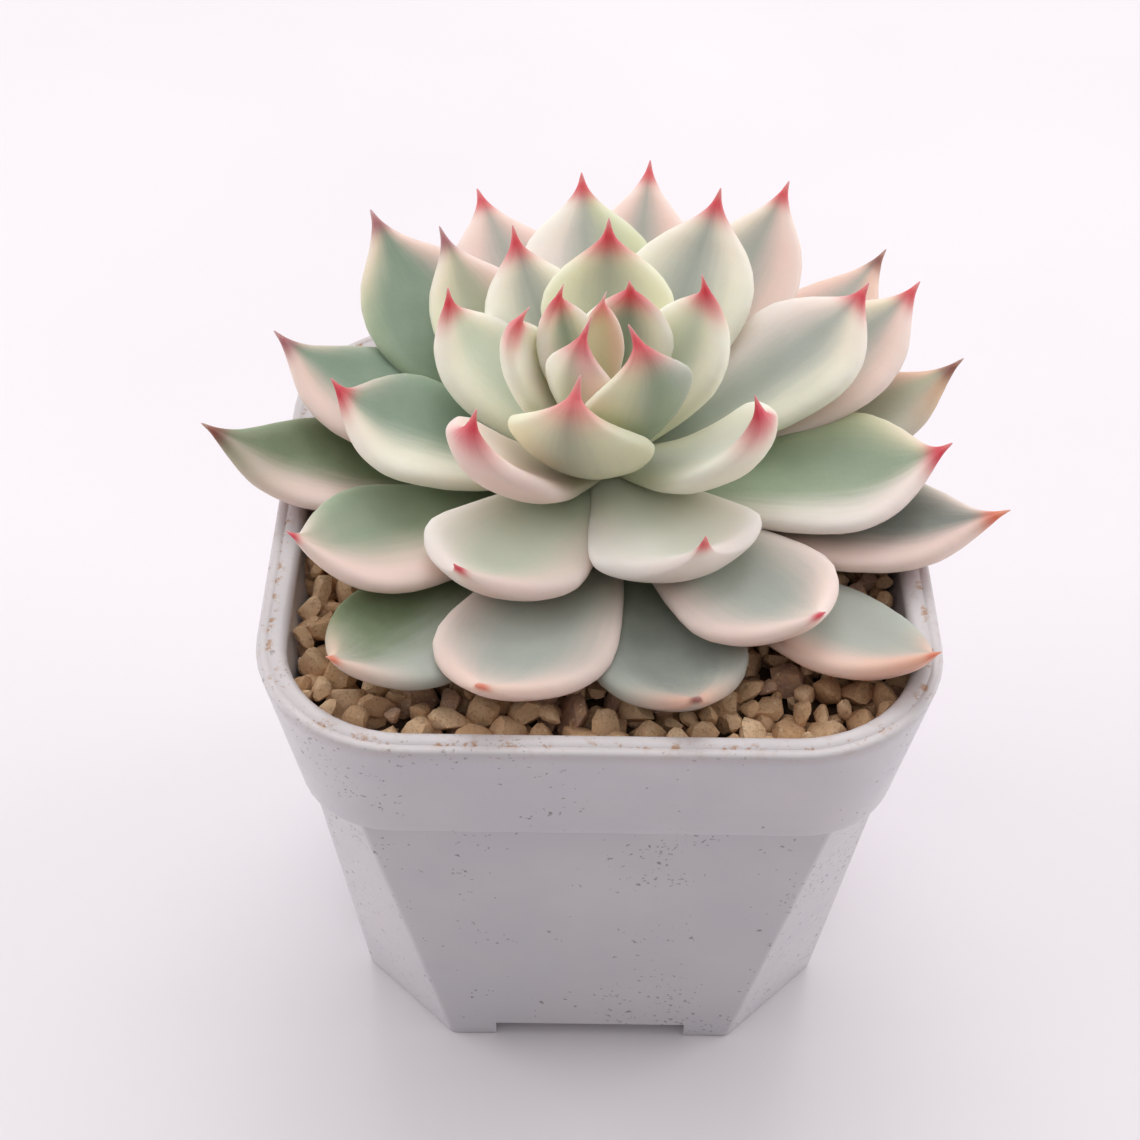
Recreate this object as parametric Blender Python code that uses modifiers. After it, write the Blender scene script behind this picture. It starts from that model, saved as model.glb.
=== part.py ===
"""Potted rosette succulent: leaves on a short stem, a gravel top dressing, soil and a square pot.

The pot stands on z = 0 with one flat wall facing -Y.  The origin lies under the middle of the
whole object's box, so the pot's own axis stands a little off it, because the leaves lean back.
Sizes are in millimetres and angles in degrees.  They become metres in finish_object.
Blender 4.5.
"""
from math import atan2, cos, hypot, pi, radians, sin

import bmesh
import bpy
import numpy as np
from mathutils import Matrix, Vector, noise
from mathutils.bvhtree import BVHTree

METRES = 0.001
GAP = 0.3
WELD = 0.00005
SMOOTH_BELOW = 35.0

# Where the pot's axis stands
POT_X = 0.1
POT_Y = -8.2

# Pot
POT_WIDTH = 85.0
POT_HEIGHT = 70.0
RIM_CORNER = 19.4
LIP_WIDTH = 2.8
LIP_ROUND = 0.9
COLLAR_HEIGHT = 19.4
COLLAR_FOOT_WIDTH = 75.8
COLLAR_FOOT_CORNER = 12.3
STEP = 1.6
BODY_TOP_CHAMFER = 6.6
FOOT_WIDTH = 64.2
FOOT_CHAMFER = 12.6
WALL = 2.0
FLOOR_HEIGHT = 3.0
FLOOR_THICK = 2.0
NOTCH_WIDTH = 26.6
COLLAR_LEDGE = 0.1
INNER_STEP = 1.0
SOFT_SHARE = 0.3
CHAMFER_INSET = 0.6
DRAIN_MIDDLE = 10.0
DRAIN_SIDE = 6.0
DRAIN_SPREAD = 42.0
DRAIN_SIDES = 16
CUT_PAST = 1.0

# Filling
GRAVEL_BELOW_RIM = 3.7
GRAVEL_DEPTH = 9.0
GRAIN = 5.2
GRAIN_BUMP = 1.6
GRAIN_SHARE = 0.35
BED_CELLS = 30

# Stem
STEM_X = 1.0
STEM_Y = 4.0
STEM_LOW_RADIUS = 5.2
STEM_TOP_RADIUS = 1.1
ROOT_DEPTH = 16.0
STEM_SIDES = 18
ROOT_NECK = 0.9
ROOT_TIP = 0.3

# Rosette
FIRST_TURN = 40.0
GOLDEN_TURN = 137.5
LOWEST_LEAF = -1.0
LEAF_PITCH = 0.28
LAST_STEP = 45
BASE_OUT = 0.1
LEAF_TOP_SHARE = 0.25
HOOK_START = 0.62
WIDEST_KNOT = 0.66
SECTION_SIDES = 10
LEAF_FOOT = 1.5
LEAF_RINGS = (0.0, 0.12, 0.27, 0.42, 0.56, 0.68, 0.78, 0.87, 0.94, 1.0)

# Half width and thickness of a leaf along its length, as shares of its largest
LEAF_OUTLINE = (
    (0.0, 0.34), (0.12, 0.42), (0.25, 0.56), (0.38, 0.74), (0.50, 0.88), (0.59, 0.97),
    (0.66, 1.0), (0.73, 0.95), (0.79, 0.80), (0.84, 0.61), (0.89, 0.40), (0.94, 0.21),
    (0.975, 0.09), (1.0, 0.03),
)
LEAF_DEPTH = (
    (0.0, 0.33), (0.2, 0.55), (0.5, 1.0), (0.7, 1.0), (0.82, 0.85), (0.9, 0.6),
    (0.96, 0.33), (1.0, 0.12),
)

# One row for each leaf, lowest first.  step: its place on the spiral.  swing: how far its tip
# strays from the spiral.  reach: tip from the stem's axis.  lift: tip above the rim.
# widest: where along the leaf.  curl: bend along the leaf.  hook: extra bend at the tip.
# cup: how far the margins rise.  roll: twist at the tip.  sway: tip's sideways drift.
LEAVES = (
    # step swing reach lift width widest curl hook  cup roll sway thick
    (0, 6, 57.5, 12, 17, 0.62, 10, 15, 0.25, 0, 0, 4.0),
    (1, -3, 53, 10, 19, 0.60, 10, 25, 0.25, 0, 3, 4.0),
    (2, 3, 53, 7, 18, 0.68, 0, 45, 0.25, -15, 0, 4.0),
    (3, -9, 55, 18, 18, 0.62, 20, 10, 0.25, 0, 0, 4.0),
    (4, -2, 50, 6.5, 20, 0.68, 0, 45, 0.25, 0, 0, 4.0),
    (5, 12, 51, 11, 17, 0.60, 10, 20, 0.25, 0, 0, 4.0),
    (6, -15, 52, 18.5, 23, 0.60, 20, 15, 0.25, 0, 0, 4.0),
    (7, 0, 44, 6, 20, 0.66, -5, 50, 0.25, 0, 1, 4.0),
    (8, 3, 50, 22, 18, 0.64, 25, 15, 0.25, 0, -3, 4.0),
    (9, 8, 44, 10, 21, 0.66, 5, 40, 0.25, 0, 0, 4.0),
    (10, 12, 52, 8, 20, 0.60, 10, 25, 0.25, 0, 1, 4.0),
    (11, -4, 50, 18, 19, 0.64, 15, 10, 0.25, 0, 3, 4.0),
    (12, 5, 45, 7.5, 22, 0.68, -5, 50, 0.25, 0, -4, 4.0),
    (13, 3, 49, 18, 20, 0.64, 20, 20, 0.25, 0, 0, 4.0),
    (14, -7, 48, 14, 20, 0.60, 20, 20, 0.25, 0, 1, 4.0),
    (15, 6, 41, 10, 22, 0.68, 5, 45, 0.25, 0, 0, 4.0),
    (18, -2, 44, 12, 24, 0.66, 10, 30, 0.25, 0, 3, 4.2),
    (19, -6, 39, 21.5, 17, 0.60, 30, 10, 0.25, 0, 0, 4.0),
    (21, -19, 39, 22, 20, 0.68, 25, 20, 0.25, 0, 0, 4.2),
    (22, -9, 36, 16.5, 21, 0.66, 20, 35, 0.25, 0, -1, 4.2),
    (24, -5, 44, 22.5, 20, 0.64, 25, 10, 0.25, 0, 0, 4.2),
    (25, 1, 32.5, 12, 22, 0.68, 0, 55, 0.25, 0, -2, 4.2),
    (27, -5, 25, 24, 16, 0.60, 55, 25, 0.3, 0, 0, 4.2),
    (28, 4, 26, 14, 23, 0.68, 10, 75, 0.25, 0, 1, 4.2),
    (29, -1, 38, 26, 19, 0.62, 35, 10, 0.25, 0, 0, 4.2),
    (30, 14, 21, 25, 18, 0.62, 60, 40, 0.35, 0, 0, 4.2),
    (31, -12, 20, 25, 18, 0.62, 60, 40, 0.35, 0, 0, 4.2),
    (32, -5, 31, 24, 16, 0.60, 40, 15, 0.3, 0, 0, 4.2),
    (33, -8, 11, 28, 19, 0.56, 70, 40, 0.35, 8, 0, 4.2),
    (34, 2, 16, 28, 15, 0.60, 60, 20, 0.35, 0, 2, 4.0),
    (35, -5, 10.5, 29, 13, 0.60, 60, 30, 0.35, 0, 0, 3.4),
    (36, -10, 5.5, 32, 16, 0.56, 55, 40, 0.35, 0, -1, 3.4),
    (37, 3, 24, 28, 18, 0.62, 45, 15, 0.3, 0, 0, 4.0),
    (38, 10, 4.5, 32, 12, 0.55, 45, 30, 0.35, 0, 0, 2.6),
    (40, -8, 9, 29.5, 10, 0.58, 45, 25, 0.35, 0, 0, 2.6),
    (42, 22, 10, 28, 13, 0.60, 60, 30, 0.35, 0, 0, 3.0),
    (43, 5, 4.5, 27, 8, 0.55, 45, 25, 0.35, 0, 0, 1.8),
    (44, 0, 4.5, 26.5, 8, 0.55, 45, 25, 0.35, 0, 0, 1.8),
    (45, 0, 2.5, 31.5, 6, 0.55, 30, 20, 0.3, 0, 0, 1.6),
)

POT_COLOUR = (0.80, 0.80, 0.79, 1.0)
SOIL_COLOUR = (0.05, 0.035, 0.022, 1.0)
GRAVEL_COLOUR = (0.42, 0.27, 0.14, 1.0)
STEM_COLOUR = (0.30, 0.36, 0.16, 1.0)
LEAF_COLOUR = (0.47, 0.56, 0.42, 1.0)


def clear_scene():
    for thing in list(bpy.data.objects):
        bpy.data.objects.remove(thing, do_unlink=True)
    for group in list(bpy.data.collections):
        bpy.data.collections.remove(group)


def make_home(name, anchor):
    group = bpy.data.collections.new(name)
    bpy.context.scene.collection.children.link(group)
    return group, anchor


def make_material(name, colour, roughness):
    material = bpy.data.materials.new(name)
    material.use_nodes = True
    shader = material.node_tree.nodes["Principled BSDF"]
    shader.inputs["Base Color"].default_value = colour
    shader.inputs["Roughness"].default_value = roughness
    return material


def finish_object(name, mesh, home, material=None, place=(0.0, 0.0, 0.0)):
    """An object for a mesh in millimetres.  home is its collection and the empty it hangs on."""
    group, anchor = home
    mesh.transform(Matrix.Scale(METRES, 4))
    mesh.shade_smooth()
    mesh.set_sharp_from_angle(angle=radians(SMOOTH_BELOW))
    made = bpy.data.objects.new(name, mesh)
    made.location = Vector(place) * METRES
    made.parent = anchor
    group.objects.link(made)
    if material:
        mesh.materials.append(material)
    else:
        made.hide_render = True
        made.display_type = "WIRE"
    return made


def make_loft(name, rings, home, material=None):
    points, faces = loft(rings)
    mesh = bpy.data.meshes.new(name)
    mesh.from_pydata(points, [], faces)
    return finish_object(name, mesh, home, material)


def make_box(name, size, place, home):
    mesh = bpy.data.meshes.new(name)
    shape = bmesh.new()
    bmesh.ops.create_cube(shape, size=1.0)
    bmesh.ops.scale(shape, vec=Vector(size), verts=shape.verts)
    shape.to_mesh(mesh)
    shape.free()
    return finish_object(name, mesh, home, place=place)


def make_cylinder(name, width, depth, place, home):
    mesh = bpy.data.meshes.new(name)
    shape = bmesh.new()
    bmesh.ops.create_cone(
        shape, cap_ends=True, segments=DRAIN_SIDES, radius1=width / 2, radius2=width / 2, depth=depth
    )
    shape.to_mesh(mesh)
    shape.free()
    return finish_object(name, mesh, home, place=place)


def make_turned(name, profile, home, material=None):
    """A solid turned about the stem's axis from a profile that runs from top to bottom."""
    mesh = bpy.data.meshes.new(name)
    points = [(radius, 0.0, height) for radius, height in profile]
    mesh.from_pydata(points, [(i, i + 1) for i in range(len(points) - 1)], [])
    made = finish_object(name, mesh, home, material, place=(STEM_X, STEM_Y, 0.0))
    turned = made.modifiers.new("turned", "SCREW")
    turned.steps = STEM_SIDES
    turned.render_steps = STEM_SIDES
    turned.use_merge_vertices = True
    turned.merge_threshold = WELD
    return made


def loft(rings):
    """Points and faces of a closed solid whose skin runs through rings of equal count.

    Its skin is split along the same diagonals in every loft, so that nested ones stay parallel.
    """
    count = len(rings[0])
    points = [tuple(point) for ring in rings for point in ring]
    faces = []
    for low in range(len(rings) - 1):
        for side in range(count):
            turn = (side + 1) % count
            corner = low * count + side
            across = (low + 1) * count + turn
            faces.append((corner, low * count + turn, across))
            faces.append((corner, across, (low + 1) * count + side))
    faces.append(tuple(reversed(range(count))))
    last = (len(rings) - 1) * count
    faces.append(tuple(range(last, last + count)))
    return points, faces


def square_ring(half, corner, height, roundness, steps=4):
    """One level outline of a square whose corners go from a flat chamfer (0) to an arc (1)."""
    ring = []
    for quarter in range(4):
        for step in range(steps + 1):
            share = step / steps
            arc = (cos(share * pi / 2), sin(share * pi / 2))
            flat = (1 - share, share)
            x = half - corner + corner * (arc[0] * roundness + flat[0] * (1 - roundness))
            y = half - corner + corner * (arc[1] * roundness + flat[1] * (1 - roundness))
            turn = quarter * pi / 2
            ring.append((x * cos(turn) - y * sin(turn), x * sin(turn) + y * cos(turn), height))
    return ring


def add_boolean(target, cutter, operation="DIFFERENCE"):
    modifier = target.modifiers.new(operation.lower() + "_" + cutter.name, "BOOLEAN")
    modifier.operation = operation
    modifier.solver = "EXACT"
    modifier.object = cutter


COLLAR_LOW = POT_HEIGHT - COLLAR_HEIGHT
RIM_HALF = POT_WIDTH / 2
COLLAR_HALF = COLLAR_FOOT_WIDTH / 2
BODY_HALF = COLLAR_HALF - STEP
FOOT_HALF = FOOT_WIDTH / 2
FLOOR_TOP = FLOOR_HEIGHT + FLOOR_THICK
GRAVEL_TOP = POT_HEIGHT - GRAVEL_BELOW_RIM
GRAVEL_LOW = GRAVEL_TOP - GRAVEL_DEPTH
LEAF_LOW = POT_HEIGHT + LOWEST_LEAF
STEM_TOP = LEAF_LOW + LEAF_PITCH * LAST_STEP


def body_at(height):
    """Half width and chamfer of the pot's lower body at a height."""
    share = height / COLLAR_LOW
    half = FOOT_HALF + (BODY_HALF - FOOT_HALF) * share
    chamfer = FOOT_CHAMFER + (BODY_TOP_CHAMFER - FOOT_CHAMFER) * share
    return half, chamfer


def collar_at(height):
    """Half width and corner radius of the collar at a height."""
    share = (height - COLLAR_LOW) / COLLAR_HEIGHT
    half = COLLAR_HALF + (RIM_HALF - COLLAR_HALF) * share
    corner = COLLAR_FOOT_CORNER + (RIM_CORNER - COLLAR_FOOT_CORNER) * share
    return half, corner


def inside_ring(height, inset):
    """Outline of the pot's hollow at a height, drawn in by inset."""
    if height < COLLAR_LOW:
        half, corner = body_at(height)
        thick = WALL + inset
        return square_ring(half - thick, corner - thick * CHAMFER_INSET, height, 0.0)
    half, corner = collar_at(height)
    thick = LIP_WIDTH + inset
    return square_ring(half - thick, corner - thick, height, 1.0)


def build_pot(home, cutters, material):
    half, corner = collar_at(POT_HEIGHT)
    outer = []
    for height in (0.0, COLLAR_LOW - COLLAR_LEDGE):
        width, chamfer = body_at(height)
        outer.append(square_ring(width, chamfer, height, 0.0))
    soft = LIP_ROUND * SOFT_SHARE
    outer.append(square_ring(COLLAR_HALF - soft, COLLAR_FOOT_CORNER, COLLAR_LOW, 1.0))
    outer.append(square_ring(COLLAR_HALF, COLLAR_FOOT_CORNER, COLLAR_LOW + soft, 1.0))
    outer.append(square_ring(half, corner, POT_HEIGHT - LIP_ROUND, 1.0))
    outer.append(square_ring(half - soft, corner - soft, POT_HEIGHT - soft, 1.0))
    outer.append(square_ring(half - LIP_ROUND, corner - LIP_ROUND, POT_HEIGHT, 1.0))
    pot = make_loft("pot", outer, home, material)

    lip = half - LIP_WIDTH
    lip_corner = corner - LIP_WIDTH
    inner = [inside_ring(FLOOR_TOP, 0.0), inside_ring(COLLAR_LOW - INNER_STEP, 0.0)]
    inner.append(inside_ring(COLLAR_LOW + INNER_STEP, 0.0))
    inner.append(square_ring(lip, lip_corner, POT_HEIGHT - LIP_ROUND, 1.0))
    inner.append(square_ring(lip + soft, lip_corner + soft, POT_HEIGHT - soft, 1.0))
    wide = LIP_ROUND + soft
    inner.append(square_ring(lip + wide, lip_corner + wide, POT_HEIGHT + CUT_PAST, 1.0))
    add_boolean(pot, make_loft("cut_pot_inside", inner, cutters))

    low_half, low_corner = body_at(0.0)
    recess = [
        square_ring(low_half - WALL, low_corner - WALL * CHAMFER_INSET, height, 0.0)
        for height in (-CUT_PAST, FLOOR_HEIGHT)
    ]
    add_boolean(pot, make_loft("cut_pot_recess", recess, cutters))

    tall = FLOOR_HEIGHT + CUT_PAST
    middle = (0.0, 0.0, FLOOR_HEIGHT - tall / 2)
    for name, size in (("x", (POT_WIDTH, NOTCH_WIDTH)), ("y", (NOTCH_WIDTH, POT_WIDTH))):
        add_boolean(pot, make_box("cut_pot_notch_" + name, (*size, tall), middle, cutters))

    drains = [(0.0, 0.0, DRAIN_MIDDLE)]
    for turn in range(4):
        angle = pi / 4 + turn * pi / 2
        reach = DRAIN_SPREAD / 2
        drains.append((reach * cos(angle), reach * sin(angle), DRAIN_SIDE))
    deep = FLOOR_THICK + 2 * CUT_PAST
    for number, (x, y, width) in enumerate(drains):
        place = (x, y, FLOOR_HEIGHT + FLOOR_THICK / 2)
        hole = make_cylinder("cut_pot_drain_%d" % number, width, deep, place, cutters)
        add_boolean(pot, hole)
    return pot


def stem_radius(height):
    share = (height - LEAF_LOW) / (STEM_TOP - LEAF_LOW)
    share = min(1.0, max(0.0, share))
    return STEM_LOW_RADIUS + (STEM_TOP_RADIUS - STEM_LOW_RADIUS) * share


def stem_profile(grow):
    """The stem from top to root tip.  Its neck lies in the gap between the gravel and the soil."""
    neck = GRAVEL_LOW - GAP / 2
    low = neck - ROOT_DEPTH
    middle = (LEAF_LOW + STEM_TOP) / 2
    return [
        (0.0, STEM_TOP + grow),
        (STEM_TOP_RADIUS + grow, STEM_TOP + grow),
        (stem_radius(middle) + grow, middle),
        (STEM_LOW_RADIUS + grow, LEAF_LOW),
        (STEM_LOW_RADIUS * ROOT_NECK + grow, neck),
        (STEM_LOW_RADIUS * ROOT_TIP + grow, low - grow),
        (0.0, low - grow),
    ]


def build_soil(home, material, socket):
    rings = [
        inside_ring(FLOOR_TOP + GAP, GAP),
        inside_ring(COLLAR_LOW - INNER_STEP, GAP),
        inside_ring(COLLAR_LOW + INNER_STEP, GAP),
        inside_ring(GRAVEL_LOW - GAP, GAP),
    ]
    soil = make_loft("potting_soil", rings, home, material)
    add_boolean(soil, socket)
    return soil


def build_gravel(home, cutters, material, socket):
    """A bed of grains: a fine grid with a cobbled top, kept to the pot's outline."""
    mesh = bpy.data.meshes.new("gravel_top_dressing")
    shape = bmesh.new()
    bmesh.ops.create_grid(shape, x_segments=BED_CELLS, y_segments=BED_CELLS, size=RIM_HALF)
    for vertex in shape.verts:
        x, y, height = vertex.co
        near = noise.voronoi(Vector((x, y, 0.0)) / GRAIN)[0][0]
        vertex.co.z = GRAVEL_TOP + GRAIN_BUMP * (GRAIN_SHARE - near)
    low = bmesh.ops.extrude_face_region(shape, geom=list(shape.faces))["geom"]
    for vertex in low:
        if isinstance(vertex, bmesh.types.BMVert):
            vertex.co.z = GRAVEL_LOW - CUT_PAST
    bmesh.ops.recalc_face_normals(shape, faces=shape.faces)
    shape.to_mesh(mesh)
    shape.free()
    gravel = finish_object("gravel_top_dressing", mesh, home, material)
    add_boolean(gravel, socket)
    rings = [inside_ring(GRAVEL_LOW, GAP), inside_ring(POT_HEIGHT - LIP_ROUND, GAP)]
    add_boolean(gravel, make_loft("cut_gravel_edge", rings, cutters), "INTERSECT")
    return gravel


def along(knots, share):
    return float(np.interp(share, [k[0] for k in knots], [k[1] for k in knots]))


def leaf_spine(leaf):
    """Stations along a leaf: distance from the axis, height and pitch, with its length."""
    step, swing, reach, lift, width, widest, curl, hook = leaf[:8]
    share = step / LAST_STEP
    base_height = LEAF_LOW + LEAF_PITCH * step
    base_out = stem_radius(base_height) * (1 - share) + share * STEM_TOP_RADIUS + BASE_OUT
    fine = np.linspace(0.0, 1.0, 200)
    late = np.clip((fine - HOOK_START) / (1 - HOOK_START), 0.0, 1.0)
    bend = np.radians(curl) * fine + np.radians(hook) * late * late * (3 - 2 * late)
    gap = fine[1]
    out = np.concatenate([[0.0], np.cumsum(np.cos(bend[1:]) + np.cos(bend[:-1])) * gap / 2])
    up = np.concatenate([[0.0], np.cumsum(np.sin(bend[1:]) + np.sin(bend[:-1])) * gap / 2])
    want = (reach - base_out, POT_HEIGHT + lift - base_height)
    length = hypot(*want) / hypot(out[-1], up[-1])
    tilt = atan2(want[1], want[0]) - atan2(up[-1], out[-1])
    radius = base_out + length * (out * cos(tilt) - up * sin(tilt))
    height = base_height + length * (out * sin(tilt) + up * cos(tilt))
    return fine, radius, height, bend + tilt


def leaf_rings(leaf, grow=0.0):
    step, swing, reach, lift, width, widest, curl, hook, cup, roll, sway, thick = leaf
    turn = radians(FIRST_TURN + GOLDEN_TURN * step + swing)
    outward = np.array((cos(turn), sin(turn), 0.0))
    across = np.array((-sin(turn), cos(turn), 0.0))
    upward = np.array((0.0, 0.0, 1.0))
    axis = np.array((STEM_X, STEM_Y, 0.0))
    fine, radii, heights, pitches = leaf_spine(leaf)
    stations = [(0.0, -LEAF_FOOT - grow)] + [(share, 0.0) for share in LEAF_RINGS[:-1]]
    stations.append((LEAF_RINGS[-1], grow))
    rings = []
    for share, ahead in stations:
        radius = np.interp(share, fine, radii)
        height = np.interp(share, fine, heights)
        pitch = np.interp(share, fine, pitches)
        if share < widest:
            knot = share * WIDEST_KNOT / widest
        else:
            knot = WIDEST_KNOT + (share - widest) * (1 - WIDEST_KNOT) / (1 - widest)
        half = width / 2 * along(LEAF_OUTLINE, knot) + grow
        depth = thick * along(LEAF_DEPTH, share) + 2 * grow
        twist = radians(roll) * share
        forward = cos(pitch) * outward + sin(pitch) * upward
        normal = -sin(pitch) * outward + cos(pitch) * upward
        wide = cos(twist) * across + sin(twist) * normal
        tall = -sin(twist) * across + cos(twist) * normal
        centre = axis + outward * radius + upward * height + across * sway * share * share
        centre = centre + forward * ahead
        ring = []
        for side in range(SECTION_SIDES):
            angle = 2 * pi * side / SECTION_SIDES
            u = np.sign(cos(angle)) * abs(cos(angle)) ** 0.85
            v = np.sign(sin(angle)) * abs(sin(angle)) ** 0.8
            rise = cup * half * half / (width / 2) * u * u
            part = LEAF_TOP_SHARE if v > 0 else 1 - LEAF_TOP_SHARE
            ring.append(centre + wide * half * u + tall * (depth * part * v + rise))
        rings.append(ring)
    return rings


def tree_of(thing):
    points = [vertex.co for vertex in thing.data.vertices]
    faces = [tuple(face.vertices) for face in thing.data.polygons]
    return BVHTree.FromPolygons(points, faces)


def largest_body(shape):
    """The vertices of a mesh's largest connected body, by its box."""
    left = set(shape.verts)
    bodies = []
    while left:
        edge = [left.pop()]
        body = list(edge)
        while edge:
            vertex = edge.pop()
            for link in vertex.link_edges:
                other = link.other_vert(vertex)
                if other in left:
                    left.remove(other)
                    edge.append(other)
                    body.append(other)
        bodies.append(body)

    def diagonal(body):
        points = np.array([vertex.co for vertex in body])
        return float(np.linalg.norm(points.max(axis=0) - points.min(axis=0)))

    return max(bodies, key=diagonal)


def apply_cuts(thing):
    """Makes an object's cuts final, and clears off any sliver that they part from it."""
    graph = bpy.context.evaluated_depsgraph_get()
    mesh = bpy.data.meshes.new_from_object(thing.evaluated_get(graph))
    shape = bmesh.new()
    shape.from_mesh(mesh)
    kept = set(largest_body(shape))
    scraps = [vertex for vertex in shape.verts if vertex not in kept]
    bmesh.ops.delete(shape, geom=scraps, context="VERTS")
    shape.to_mesh(mesh)
    shape.free()
    thing.modifiers.clear()
    thing.data = mesh


def build_leaves(home, cutters, material, socket):
    """All the leaves.  Each is cut clear of the stem and of the leaves that lie over it."""
    leaves = []
    moulds = []
    for number, leaf in enumerate(LEAVES, 1):
        name = "leaf_%02d" % number
        leaves.append(make_loft(name, leaf_rings(leaf), home, material))
        moulds.append(make_loft("cut_" + name, leaf_rings(leaf, GAP), cutters))
    for number, leaf in enumerate(leaves):
        shape = tree_of(leaf)
        add_boolean(leaf, socket)
        for mould in moulds[number + 1:]:
            if shape.overlap(tree_of(mould)):
                add_boolean(leaf, mould)
    for leaf in leaves:
        apply_cuts(leaf)


def main():
    clear_scene()
    anchor = bpy.data.objects.new("pot_axis", None)
    anchor.location = Vector((POT_X, POT_Y, 0.0)) * METRES
    home = make_home("potted_succulent", anchor)
    home[0].objects.link(anchor)
    cutters = make_home("cutters", anchor)
    socket = make_turned("cut_stem", stem_profile(GAP), cutters)
    build_pot(home, cutters, make_material("pot_plastic", POT_COLOUR, 0.4))
    build_soil(home, make_material("soil", SOIL_COLOUR, 0.95), socket)
    build_gravel(home, cutters, make_material("gravel_stone", GRAVEL_COLOUR, 0.9), socket)
    stem_material = make_material("stem_flesh", STEM_COLOUR, 0.6)
    make_turned("stem", stem_profile(0.0), home, stem_material)
    build_leaves(home, cutters, make_material("leaf_flesh", LEAF_COLOUR, 0.5), socket)


main()
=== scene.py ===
"""Looks of the potted rosette succulent: its leaves, gravel, pot, soil and stem, on a pale floor.

Shapes are worked out in millimetres from the pot's axis, with +Z up, and become metres when their
mesh is made.  Blender 4.5.
"""
from collections import namedtuple
from math import atan2, cos, hypot, pi, radians, sin, tan

import bmesh
import bpy
import numpy as np
from mathutils import Euler, Matrix, Vector, noise


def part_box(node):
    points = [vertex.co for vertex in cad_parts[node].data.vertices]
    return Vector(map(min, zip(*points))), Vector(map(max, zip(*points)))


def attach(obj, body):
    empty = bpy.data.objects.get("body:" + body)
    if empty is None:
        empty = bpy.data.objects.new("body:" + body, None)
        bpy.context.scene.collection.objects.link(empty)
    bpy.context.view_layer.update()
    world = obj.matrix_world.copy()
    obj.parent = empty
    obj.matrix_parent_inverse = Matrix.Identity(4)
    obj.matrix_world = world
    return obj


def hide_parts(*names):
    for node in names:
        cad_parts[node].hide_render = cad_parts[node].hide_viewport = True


METRES = 0.001

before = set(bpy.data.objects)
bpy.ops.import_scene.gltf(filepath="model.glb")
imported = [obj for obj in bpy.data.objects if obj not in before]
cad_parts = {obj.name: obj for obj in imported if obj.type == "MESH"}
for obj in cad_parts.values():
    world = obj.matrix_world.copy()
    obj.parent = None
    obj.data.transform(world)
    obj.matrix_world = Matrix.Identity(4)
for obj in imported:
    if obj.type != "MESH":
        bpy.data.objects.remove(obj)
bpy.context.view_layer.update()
SCENE = bpy.context.scene

# The pot, as the CAD model has it
POT_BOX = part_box("pot")
POT_AXIS = (POT_BOX[0] + POT_BOX[1]) / 2
POT_AXIS.z = 0.0
POT_WIDTH = (POT_BOX[1].x - POT_BOX[0].x) / METRES
POT_HEIGHT = POT_BOX[1].z / METRES
RIM_CORNER = 19.4
LIP_WIDTH = 2.8
COLLAR_HEIGHT = 19.4
COLLAR_FOOT_WIDTH = 75.8
COLLAR_FOOT_CORNER = 12.3
COLLAR_OVERHANG = 1.6
BODY_TOP_CHAMFER = 6.6
FOOT_WIDTH = 64.2
FOOT_CHAMFER = 12.6
WALL = 2.0
FLOOR_HEIGHT = 3.0
FLOOR_THICK = 2.0
NOTCH_WIDTH = 26.6
CHAMFER_INSET = 0.6
DRAIN_MIDDLE = 10.0
DRAIN_SIDE = 6.0
DRAIN_SPREAD = 42.0
GAP = 0.3

GRAVEL_BELOW_RIM = 3.7
COLLAR_LOW = POT_HEIGHT - COLLAR_HEIGHT
RIM_HALF = POT_WIDTH / 2
COLLAR_HALF = COLLAR_FOOT_WIDTH / 2
BODY_HALF = COLLAR_HALF - COLLAR_OVERHANG
FOOT_HALF = FOOT_WIDTH / 2
GRAVEL_TOP = POT_HEIGHT - GRAVEL_BELOW_RIM
GRAVEL_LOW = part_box("gravel_top_dressing")[0].z / METRES

# The stem and the spiral of leaves, as the CAD model has them
STEM_X = 1.0
STEM_Y = 4.0
STEM_LOW_RADIUS = 5.2
STEM_TOP_RADIUS = 1.1
FIRST_TURN = 40.0
GOLDEN_TURN = 137.5
LOWEST_LEAF_BELOW_RIM = 1.0
LEAF_LOW = POT_HEIGHT - LOWEST_LEAF_BELOW_RIM
LEAF_PITCH = 0.28
LAST_STEP = 45
STEM_TOP = LEAF_LOW + LEAF_PITCH * LAST_STEP
BASE_OUT = 0.1
LEAF_TOP_SHARE = 0.25
HOOK_START = 0.62
WIDEST_KNOT = 0.66
LEAF_FOOT = 1.5
LEAF_SIDES = 44
BLADE_RINGS = 40
POINT_RINGS = 34
POINT_START = 0.785
SPINE_STEPS = 199

# Along a leaf from its base (0) to its tip (1): its width and its depth, as shares of the most
LEAF_OUTLINE = (
    (0.0, 0.34), (0.12, 0.42), (0.25, 0.56), (0.38, 0.74), (0.50, 0.88), (0.59, 0.97),
    (0.66, 1.0), (0.73, 0.95), (0.79, 0.82), (0.84, 0.64), (0.88, 0.43), (0.91, 0.26),
    (0.94, 0.13), (0.965, 0.06), (0.985, 0.034), (1.0, 0.012),
)
LEAF_DEPTH = (
    (0.0, 0.33), (0.2, 0.55), (0.5, 1.0), (0.7, 1.0), (0.82, 0.85), (0.9, 0.55),
    (0.94, 0.32), (0.97, 0.13), (1.0, 0.04),
)
OUTLINE_SAMPLES = 801
CORNER_REACH = 17

# How far a leaf's margins roll down, as a share of its depth, and where across its half width
# that starts
MARGIN_ROLL = 0.40
MARGIN_START = 0.45

# A leaf's cross-section is an ellipse at fullness 1, and squarer below it
SIDE_FULLNESS = 0.85
FACE_FULLNESS = 0.8

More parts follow.
